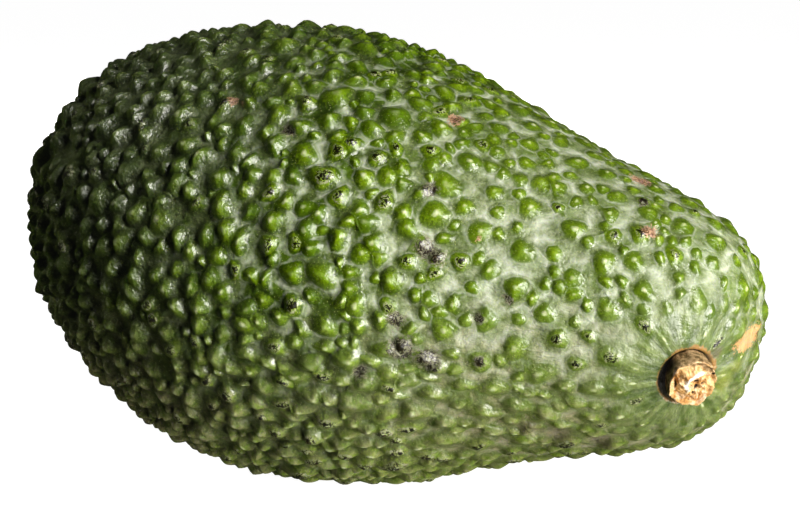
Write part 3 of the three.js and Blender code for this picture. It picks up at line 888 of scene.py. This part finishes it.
# Cork: cracked pores on some tips, dark and pale scabs, and the scar beside the stem.
SCAB_RAGGED = 0.9
PORE_CHANCE = 0.83      # the bumps whose chance is above this have a pore
PORE_RAGGED = 0.5
crackle = add(tree, "TexNoise", {
    "Vector": place, "Scale": 1 / (CRACK * MM), "Detail": 2, "Roughness": 0.6, "Distortion": 2.2,
})["Fac"]
rim_white = add(tree, "MapRange", {
    "Value": foot, "From Min": 0.1, "From Max": 0.5, "To Min": -0.11, "To Max": 0.05,
})[0]
ragged = add(tree, "Math", {0: crackle, 1: NOISE_MEAN}, operation="SUBTRACT")[0]
ragged = add(tree, "Math", {0: ragged, 1: SCAB_RAGGED}, operation="MULTIPLY")[0]
scab_masks = []
for name in ("dark_scab", "pale_scab", "scar"):
    field = add(tree, "Attribute", attribute_name=name)["Fac"]
    uneven_field = add(tree, "Math", {0: field, 1: ragged}, operation="ADD")[0]
    scab_masks.append(add(tree, "MapRange", {"Value": uneven_field, "From Min": 0.47, "From Max": 0.56})[0])
dark_scab, pale_scab, scar_mask = scab_masks
scab_ground = add(tree, "Mix", {0: dark_scab, 6: layered, 7: colour("#362b23")}, data_type="RGBA")[2]
cracks = add(tree, "Math", {0: crackle, 1: rim_white}, operation="ADD")[0]
darkened = add(tree, "Mix", {
    0: add(tree, "MapRange", {"Value": cracks, "From Min": 0.5, "From Max": 0.46})[0],
    6: scab_ground, 7: colour("#161404"),
}, data_type="RGBA")[2]
cork = add(tree, "Mix", {
    0: add(tree, "MapRange", {
        "Value": cracks, "From Min": 0.53, "From Max": 0.6,
        "To Max": add(tree, "MapRange", {"Value": dark_scab, "To Min": 1.0, "To Max": 0.6})[0],
    })[0],
    6: darkened, 7: colour("#a2a584"),
}, data_type="RGBA")[2]
has_pore = add(tree, "Math", {0: chance, 1: PORE_CHANCE}, operation="GREATER_THAN")[0]
pore = add(tree, "MapRange", {
    "Value": add(tree, "Math", {
        0: foot,
        1: add(tree, "Math", {0: patches, 1: PORE_RAGGED}, operation="MULTIPLY")[0],
    }, operation="ADD")[0],
    "From Min": 0.84, "From Max": 0.74,
})[0]
pore_amount = add(tree, "Math", {0: has_pore, 1: pore}, operation="MULTIPLY")[0]
cork_amount = add(tree, "Math", {0: pore_amount, 1: dark_scab}, operation="MAXIMUM")[0]
corked = add(tree, "Mix", {0: cork_amount, 6: layered, 7: cork}, data_type="RGBA")[2]
crackled = add(tree, "MapRange", {"Value": crackle, "From Min": 0.38, "From Max": 0.62})[0]
base = corked
for mask, pattern, darker, paler in (
    (pale_scab, crackled, "#5a3a22", "#c9a483"), (scar_mask, patches, "#a8713c", "#e6c48a"),
):
    dry = add(tree, "Mix", {0: pattern, 6: colour(darker), 7: colour(paler)}, data_type="RGBA")[2]
    base = add(tree, "Mix", {0: mask, 6: base, 7: dry}, data_type="RGBA")[2]

# The fine relief is strongest on the broad half, and round the stem it follows the streaks. The tips
# are glossiest past the fruit's middle, and duller underneath and by the stem. The bloom is dullest.
tip_rough = add(tree, "MapRange", {
    "Value": past_middle, "To Min": 0.43,
    "To Max": add(tree, "MapRange", {"Value": low_down, "To Min": 0.32, "To Max": 0.45})[0],
})[0]
rough = add(tree, "MapRange", {"Value": bloom, "From Max": 0.5, "To Min": tip_rough, "To Max": 0.62})[0]
relief = add(tree, "MapRange", {"Value": past_middle, "To Min": 1.0, "To Max": 0.4})[0]
fine = add(tree, "Bump", {"Strength": relief, "Distance": 0.13 * MM, "Height": grain})[0]
lumpy = add(tree, "Bump", {"Strength": relief, "Distance": 0.45 * MM, "Height": lumps, "Normal": fine})[0]
drawn_in = add(tree, "MapRange", {"Value": stem_far, "From Min": 16, "From Max": 9})[0]
wrinkled = add(tree, "Bump", {
    "Strength": at_neck, "Distance": 0.3 * MM, "Normal": lumpy,
    "Height": add(tree, "Mix", {0: drawn_in, 2: wrinkles, 3: streaks})[0],
})[0]
uneven = add(tree, "Bump", {
    "Strength": 0.7, "Distance": 0.3 * MM, "Height": patches, "Normal": wrinkled,
})[0]
shine = add(tree, "MapRange", {
    "Value": past_middle, "To Min": 0.85,
    "To Max": add(tree, "MapRange", {"Value": low_down, "To Min": 0.16, "To Max": 0.7})[0],
})[0]
tip_gloss = add(tree, "MapRange", {
    "Value": by_stem,
    "To Min": add(tree, "MapRange", {"Value": past_middle, "To Min": 0.5, "To Max": 0.78})[0],
    "To Max": 0.2,
})[0]
gloss = add(tree, "MapRange", {"Value": bloom, "From Max": 0.45, "To Min": tip_gloss, "To Max": 0.05})[0]
surface = add(tree, "BsdfPrincipled", {
    "Base Color": base, "Roughness": rough, "IOR": 2.1, "Specular IOR Level": shine, "Normal": uneven,
    "Subsurface Weight": 0.2, "Subsurface Radius": (0.6, 1.0, 0.1), "Subsurface Scale": 1.2 * MM,
    "Coat Weight": gloss, "Coat Roughness": 0.15, "Coat IOR": 1.5, "Coat Normal": lumpy,
})["BSDF"]
add(tree, "OutputMaterial", {"Surface": surface})
skin_mesh.materials.append(skin_finish)

fruit = bpy.data.objects.new("fruit_skin", skin_mesh)
bpy.context.scene.collection.objects.link(fruit)
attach(fruit, "root")
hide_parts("fruit")

# ---------------------------------------------------------------------------------------------
# The stem stub: what is left of the stem that the fruit was cut from, a short plug of dry wood.
# It stands in the socket that it grew from. Its wall rises to an uneven rim, and inside that the
# wood is broken off: a raised pith in the middle, a hollow at one side, and small pits.
# ---------------------------------------------------------------------------------------------

STUB_SIDES = 120
WALL_STEPS = 10
FACE_RINGS = 30
WORK_INSETS = 0.6       # how far its rings reach in while they are made, of a radius of 1
STUB_GAP = 0.35         # mm under its foot
STUB_RADIUS = 3.7       # mm
STUB_WALL = ((0, 0.88), (1.2, 0.95), (2.4, 1.0), (2.95, 0.95))     # height in mm, and share of the radius
STUB_BULGE = 0.03       # how far it stands out towards its hollow, and how much it is flattened
STUB_OVAL = 0.07
STUB_WAVES = ((5, 1, 0.02), (9, 0, 0.015))      # round its wall: how many, turn, share of the radius
RIM_WAVES = ((3, 0.4, 0.16), (8, 0, 0.1))       # along its rim: how many, turn, mm
WALL_ROUGH = 0.035      # how far the grain of the wood moves its wall, its rim and its face
RIM_ROUGH = 0.1
FACE_ROUGH = 0.3
FACE_ROUGH_FROM = (0.06, 0.2)   # in from its edge, where that begins and is full
GRAIN_ACROSS = 2.3      # spots of the grain in a mm, across the wood and along it
GRAIN_ALONG = 0.6
GRAIN_NOISE = (0.7, 2.2, 4)     # how rough, how much finer each octave is, and how many
FACE_SPAN = 3           # mm, the radius that the grain takes its face to have
FACE_HEIGHT = 2.75      # mm
FACE_FROM = 0.94        # where it begins inside the rim, as shares of the radius
RIM_WIDTH = 0.1
HOLLOW_TOWARDS = math.radians(-150)
HOLLOW_DEPTH = 0.7      # mm
HOLLOW_AT = 0.72
HOLLOW_WIDTH = 0.13
PITH_RISE = 0.4         # mm
PITH_RADIUS = 0.5
FACE_SLOPE = (0.5, 0.6)     # mm, how much higher the face stands at its right and at its top
FACE_SHIFT = (0.05, -0.15)      # how far the places below are shifted, as shares of its radius
STUB_LEAN = 0.4            # mm, how far its foot stands off towards its face's upper right
LEAN_TURN = math.radians(60)
FACE_TURN = math.radians(83)    # turns the places below, which are given on a face seen from outside

# Places on the broken face as shares of its radius: across, up, how wide one way, across that, turn
# of the long way in degrees, and how far up it stands in mm.
FACE_PITS = (
    (0.84, 0.33, 0.11, 0.06, 80, -0.9),
    (0.20, -0.27, 0.15, 0.11, 50, -0.75),
    (0.44, -0.12, 0.10, 0.06, 20, -0.45),
    (0.12, 0.02, 0.12, 0.05, 30, -0.3),
    (0.10, -0.52, 0.07, 0.05, 60, -0.35),
    (-0.70, 0.30, 0.40, 0.12, 65, -0.9),
    (-0.60, -0.20, 0.22, 0.05, 95, -0.4),
)
PALE_CREST = ((0.34, 0.33), (0.08, 0.22), (-0.16, 0.06), (-0.30, -0.18), (-0.14, -0.36))
CREST_WIDTH = 0.075
CREST_RISE = 0.2
BARK_BELOW = -0.08      # the wall has bark all over from just under the rim
MARK_EDGE = 1.3         # how sharply a mark on the face ends
BARK = ((-0.25, 0.78, 0.34, 0.16, 25), (0.10, 0.64, 0.3, 0.1, 10), (0.55, 0.5, 0.22, 0.14, -30))
RIM_LIP = (0.52, 0.80, 0.34, 0.11, -30, 0.35)


def oval_mark(across, up, mark):
    """1 in the middle of an oval place, and nothing outside it."""
    middle_across, middle_up, long_way, short_way, turn = mark[:5]
    turn = math.radians(turn)
    a, b = across - middle_across, up - middle_up
    along = (a * math.cos(turn) + b * math.sin(turn)) / long_way
    aside = (b * math.cos(turn) - a * math.sin(turn)) / short_way
    return np.exp(-((along ** 2 + aside ** 2) ** MARK_EDGE))


stub_form = bmesh.new()
bmesh.ops.create_cone(stub_form, cap_ends=True, cap_tris=False, segments=STUB_SIDES,
                      radius1=1, radius2=1, depth=1)
upright = [edge for edge in stub_form.edges if edge.verts[0].co.z * edge.verts[1].co.z < 0]
top = max(stub_form.faces, key=lambda face: face.calc_center_median().z)
level_of = stub_form.verts.layers.float.new("level")
bmesh.ops.subdivide_edges(stub_form, edges=upright, cuts=WALL_STEPS - 1, use_grid_fill=True)
for corner in stub_form.verts:
    corner[level_of] = corner.co.z - 0.5    # -1 at the bottom, 0 at the rim, and up to 1 within it
for number in range(1, FACE_RINGS + 1):
    bmesh.ops.inset_individual(stub_form, faces=[top], thickness=WORK_INSETS / FACE_RINGS, depth=0)
    for corner in top.verts:
        corner[level_of] = number / (FACE_RINGS + 1)
for tip in bmesh.ops.poke(stub_form, faces=[top])["verts"]:
    tip[level_of] = 1
for face in stub_form.faces:
    face.smooth = True

level = np.array([corner[level_of] for corner in stub_form.verts])
angle = np.array([math.atan2(corner.co.y, corner.co.x) for corner in stub_form.verts])
heights, shares = np.array(STUB_WALL).T
wall_height = (1 + np.minimum(level, 0)) * heights[-1]
share = np.where(level <= 0, np.interp(wall_height, heights, shares), FACE_FROM * (1 - level))
outline = 1 + STUB_BULGE * np.cos(angle - HOLLOW_TOWARDS)
outline += STUB_OVAL * np.cos(2 * (angle - FACE_TURN) + math.pi)
for count, turn, size in STUB_WAVES:
    outline += size * np.sin(count * angle + turn)
facing = 0.5 + 0.5 * np.cos(angle - HOLLOW_TOWARDS)
face_height = (
    FACE_HEIGHT + PITH_RISE * np.exp(-((share / PITH_RADIUS) ** 4))
    - HOLLOW_DEPTH * facing ** 2 * np.exp(-(((share - HOLLOW_AT) / HOLLOW_WIDTH) ** 2))
)
across = share * np.cos(angle - FACE_TURN) + FACE_SHIFT[0]
up = share * np.sin(angle - FACE_TURN) + FACE_SHIFT[1]
dark = np.zeros(len(level))
for pit in FACE_PITS:
    mark = oval_mark(across, up, pit)
    face_height += pit[5] * mark
    dark = np.maximum(dark, mark)
crest = np.zeros(len(level))
for start, end in zip(PALE_CREST, PALE_CREST[1:]):
    way = np.subtract(end, start)
    part = np.clip(((across - start[0]) * way[0] + (up - start[1]) * way[1]) / (way @ way), 0, 1)
    miss = np.hypot(across - start[0] - part * way[0], up - start[1] - part * way[1])
    crest = np.maximum(crest, np.exp(-((miss / CREST_WIDTH) ** 2)))
face_height += CREST_RISE * crest
slope = share * (FACE_SLOPE[0] * np.cos(angle - FACE_TURN) + FACE_SLOPE[1] * np.sin(angle - FACE_TURN))
bark = np.max([oval_mark(across, up, mark) for mark in BARK], axis=0)
bark = np.where(level < BARK_BELOW, 1, bark)
lip = oval_mark(across, up, RIM_LIP)
face_height += RIM_LIP[5] * lip + slope

rough_wood = np.array([
    noise.fractal(Vector((GRAIN_ACROSS * a, GRAIN_ACROSS * b, GRAIN_ALONG * c)), *GRAIN_NOISE)
    for a, b, c in zip(FACE_SPAN * share * np.cos(angle), FACE_SPAN * share * np.sin(angle), wall_height)
])
face_height += FACE_ROUGH * rough_wood * smoothstep(1 - share, *FACE_ROUGH_FROM)
rim_height = heights[-1] + slope
for count, turn, rise in RIM_WAVES:
    rim_height += rise * np.sin(count * angle + turn)
rim_height += RIM_ROUGH * rough_wood
height = np.where(
    level <= 0,
    wall_height / heights[-1] * rim_height,
    rim_height + (face_height - rim_height) * smoothstep(FACE_FROM - share, 0, RIM_WIDTH),
)
radius = STUB_RADIUS * share * outline * (1 + WALL_ROUGH * rough_wood)
foot_at = stem_foot + stem_axis * (STUB_GAP * MM - DIMPLE_DEPTH - SOCKET_DEPTH)
lean = STUB_LEAN * (1 - np.clip(height / heights[-1], 0, 1)) * MM
lean_way = math.cos(FACE_TURN + LEAN_TURN) * stem_first + math.sin(FACE_TURN + LEAN_TURN) * stem_second
foot_at = foot_at + lean[:, None] * lean_way
across_wood = np.cos(angle)[:, None] * stem_first + np.sin(angle)[:, None] * stem_second
at = laid_down(foot_at + MM * (radius[:, None] * across_wood + height[:, None] * stem_axis))
for corner, place in zip(stub_form.verts, at):
    corner.co = place
bmesh.ops.recalc_face_normals(stub_form, faces=stub_form.faces[:])
if stub_form.calc_volume(signed=True) < 0:      # the call above can be misled by the folds of the rim
    bmesh.ops.reverse_faces(stub_form, faces=stub_form.faces[:])

stub_mesh = bpy.data.meshes.new("stem_plug")
stub_form.to_mesh(stub_mesh)
stub_form.free()
for name, values in (("dark", dark), ("crest", crest), ("bark", bark)):
    stub_mesh.attributes.new(name, "FLOAT", "POINT").data.foreach_set("value", values.astype(np.float32))

# Stem wood, torn off and dried: fibrous and matt. It is pale where it was torn last, dark in its
# cracks and pits, and grey-brown where bark is left. Its fibres are finer than they are drawn.
FIBRE = 0.76923         # mm
BLOTCH = 2.0833         # mm
wood_finish = bpy.data.materials.new("dry_stem_wood")
wood_finish.use_nodes = True
tree = wood_finish.node_tree
tree.nodes.clear()
place = add(tree, "TexCoord")["Object"]
fibres = add(tree, "TexNoise", {
    "Vector": place, "Scale": 1 / (FIBRE * MM), "Detail": 4, "Roughness": 0.7,
})["Fac"]
blotches = add(tree, "TexNoise", {"Vector": place, "Scale": 1 / (BLOTCH * MM), "Detail": 2})["Fac"]
tan = add(tree, "Mix", {
    0: add(tree, "MapRange", {"Value": blotches, "From Min": 0.35, "From Max": 0.65})[0],
    6: colour("#ad7630"), 7: colour("#e6bd7c"),
}, data_type="RGBA")[2]
bark_colour = add(tree, "Mix", {
    0: add(tree, "MapRange", {"Value": fibres, "From Min": 0.42, "From Max": 0.58})[0],
    6: colour("#4a4426"), 7: colour("#b39468"),
}, data_type="RGBA")[2]
bark_field, crest_field, dark_field = (
    add(tree, "Attribute", attribute_name=name)["Fac"] for name in ("bark", "crest", "dark")
)
wood = tan
for field, nothing_at, full_at, most, over in (
    (fibres, 0.45, 0.7, 0.75, colour("#fbe9c6")),       # torn fibres
    (fibres, 0.42, 0.3, 0.85, colour("#5a3416")),       # cracks between them
    (bark_field, 0.25, 0.6, 0.8, bark_colour),
    (crest_field, 0.35, 0.8, 1, colour("#fff6e4")),
    (dark_field, 0.3, 0.75, 1, colour("#1d1106")),
):
    amount = add(tree, "MapRange", {
        "Value": field, "From Min": nothing_at, "From Max": full_at, "To Max": most,
    })[0]
    wood = add(tree, "Mix", {0: amount, 6: wood, 7: over}, data_type="RGBA")[2]
splintered = add(tree, "Bump", {"Strength": 0.8, "Distance": 0.12 * MM, "Height": fibres})[0]
surface = add(tree, "BsdfPrincipled", {"Base Color": wood, "Roughness": 0.7, "Normal": splintered})["BSDF"]
add(tree, "OutputMaterial", {"Surface": surface})
stub_mesh.materials.append(wood_finish)

stub = bpy.data.objects.new("stem_plug", stub_mesh)
bpy.context.scene.collection.objects.link(stub)
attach(stub, "root")
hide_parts("stem_stub")

# ---------------------------------------------------------------------------------------------
# The camera and the lamps.
# A long lens looks from the stem end's side, a little above the table. A wide soft box to its
# right gives most of the light, a smaller lamp above that the glints, and the broad end lies in
# shadow.
# ---------------------------------------------------------------------------------------------

CAMERA_AZIMUTH = math.radians(28.63)
CAMERA_ELEVATION = math.radians(7.02)
CAMERA_DISTANCE = 450 * MM
CAMERA_AIM = Vector((1.57, 0.86, 33.17)) * MM     # a point on the fruit's axis
SENSOR = 36.0           # mm
LENS = 137.7            # mm
NEAREST_SEEN = 10 * MM

BACK = Vector((
    math.sin(CAMERA_AZIMUTH) * math.cos(CAMERA_ELEVATION),
    -math.cos(CAMERA_AZIMUTH) * math.cos(CAMERA_ELEVATION),
    math.sin(CAMERA_ELEVATION),
))
RIGHT = Vector((math.cos(CAMERA_AZIMUTH), math.sin(CAMERA_AZIMUTH), 0))
UP = BACK.cross(RIGHT)


def point_at_fruit(item, place):
    """Puts a camera or a lamp at a place, turned towards the fruit."""
    item.location = place
    item.rotation_euler = (CAMERA_AIM - place).to_track_quat("-Z", "Y").to_euler()
    bpy.context.scene.collection.objects.link(item)


camera_data = bpy.data.cameras.new("camera")
camera_data.sensor_width = SENSOR
camera_data.lens = LENS
camera_data.clip_start = NEAREST_SEEN
camera = bpy.data.objects.new("camera", camera_data)
point_at_fruit(camera, CAMERA_AIM + BACK * CAMERA_DISTANCE)
bpy.context.scene.camera = camera

# Each lamp: which way it stands, as right, up and back from where the camera looks, how far off and
# how wide in metres, its watts, and whether it shows in the gloss. The three that don't show only
# brighten the sides that the others leave dark.
WARM = (1, 0.965, 0.93)
LAMPS = (
    ("key", (0.70, -0.02, 0.71), 0.80, 0.40, 8.1, True),
    ("spark", (0.52, 0.46, 0.72), 0.90, 0.16, 4.6, True),
    ("table glow", (0.62, -0.65, 0.45), 0.60, 0.40, 3.0, False),
    ("far side", (-0.10, 0.20, -0.97), 0.90, 0.50, 9.0, False),
    ("far end", (-0.85, 0.10, -0.52), 0.90, 0.50, 5.0, False),
)
for name, (right, up, back), distance, width, power, shows in LAMPS:
    lamp_data = bpy.data.lights.new(name, "AREA")
    lamp_data.shape = "RECTANGLE"
    lamp_data.size = lamp_data.size_y = width
    lamp_data.energy = power
    lamp_data.color = WARM
    lamp = bpy.data.objects.new(name, lamp_data)
    lamp.visible_glossy = shows
    lamp.visible_camera = shows
    way = (RIGHT * right + UP * up + BACK * back).normalized()
    point_at_fruit(lamp, CAMERA_AIM + way * distance)

# ---------------------------------------------------------------------------------------------
# The floor and the room.
# The fruit lies on a wide sheet of white paper, which is lit so evenly that neither an edge nor a
# shadow shows on it. It lights nothing itself, and the room round it is white but gives little light.
# ---------------------------------------------------------------------------------------------

FLOOR_SIZE = 14.0       # metres
PAPER_GLOW = 0.98
ROOM_GLOW = 0.008
floor_form = bmesh.new()
bmesh.ops.create_grid(floor_form, x_segments=1, y_segments=1, size=FLOOR_SIZE / 2)
floor_mesh = bpy.data.meshes.new("floor")
floor_form.to_mesh(floor_mesh)
floor_form.free()
floor = bpy.data.objects.new("floor", floor_mesh)
bpy.context.scene.collection.objects.link(floor)
floor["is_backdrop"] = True

# Uncoated white paper: matt, with no sheen at all. Most of its white comes from its own glow.
floor_finish = bpy.data.materials.new("white_paper")
floor_finish.use_nodes = True
paper = floor_finish.node_tree.nodes["Principled BSDF"]
paper.inputs["Base Color"].default_value = colour("#9c9c9c")
paper.inputs["Roughness"].default_value = 0.9
paper.inputs["Emission Color"].default_value = colour("#ffffff")
paper.inputs["Emission Strength"].default_value = PAPER_GLOW
floor_mesh.materials.append(floor_finish)
floor.visible_diffuse = False
floor.visible_glossy = False
floor.visible_shadow = False

world = bpy.data.worlds.new("room")
world.use_nodes = True
bpy.context.scene.world = world
tree = world.node_tree
tree.nodes.clear()
seen = add(tree, "LightPath")["Is Camera Ray"]
dim = add(tree, "Background", {"Color": colour("#ffffff"), "Strength": ROOM_GLOW})[0]
bright = add(tree, "Background", {"Color": colour("#ffffff"), "Strength": 1.0})[0]
both = add(tree, "MixShader", {0: seen, 1: dim, 2: bright})[0]
add(tree, "OutputWorld", {"Surface": both})
bpy.context.scene.view_settings.view_transform = "Standard"

# The box of what is seen.
low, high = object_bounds()
